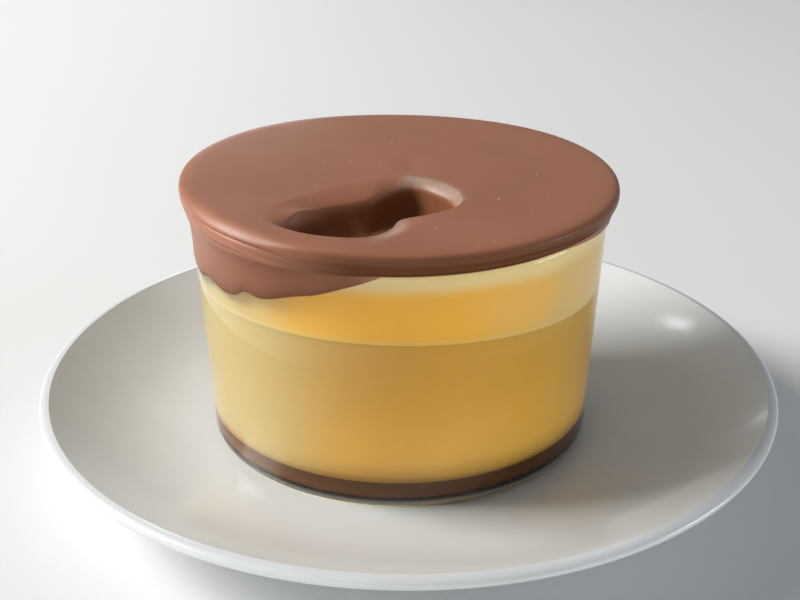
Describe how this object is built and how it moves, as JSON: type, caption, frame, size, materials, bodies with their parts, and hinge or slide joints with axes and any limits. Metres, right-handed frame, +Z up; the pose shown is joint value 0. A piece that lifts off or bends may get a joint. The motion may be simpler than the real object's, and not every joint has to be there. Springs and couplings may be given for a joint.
{
  "type": "chocolate-topped custard in a glass dish on a plate",
  "caption": "Layered custard in a straight-sided clear glass dish, under a thick chocolate cap with a hollow and a run down one side, standing on a round coupe plate.",
  "frame": {"origin": "on the table, under the middle of the plate", "axes": "+Z up, the camera of the picture looks along +Y, +X to its right"},
  "size_m": [0.1696, 0.1696, 0.0686],
  "materials": {
    "plate": "smooth white glaze",
    "glass": "clear pressed glass",
    "caramel": "dark wet caramel",
    "custard": "smooth set custard",
    "upper_layer": "smooth set custard, deeper yellow",
    "chocolate": "satin milk chocolate"
  },
  "bodies": {
    "root": {"plate": "plate", "glass_dish": "glass", "caramel_layer": "caramel", "custard": "custard", "upper_layer": "upper_layer", "chocolate_cap": "chocolate"}
  },
  "joints": []
}
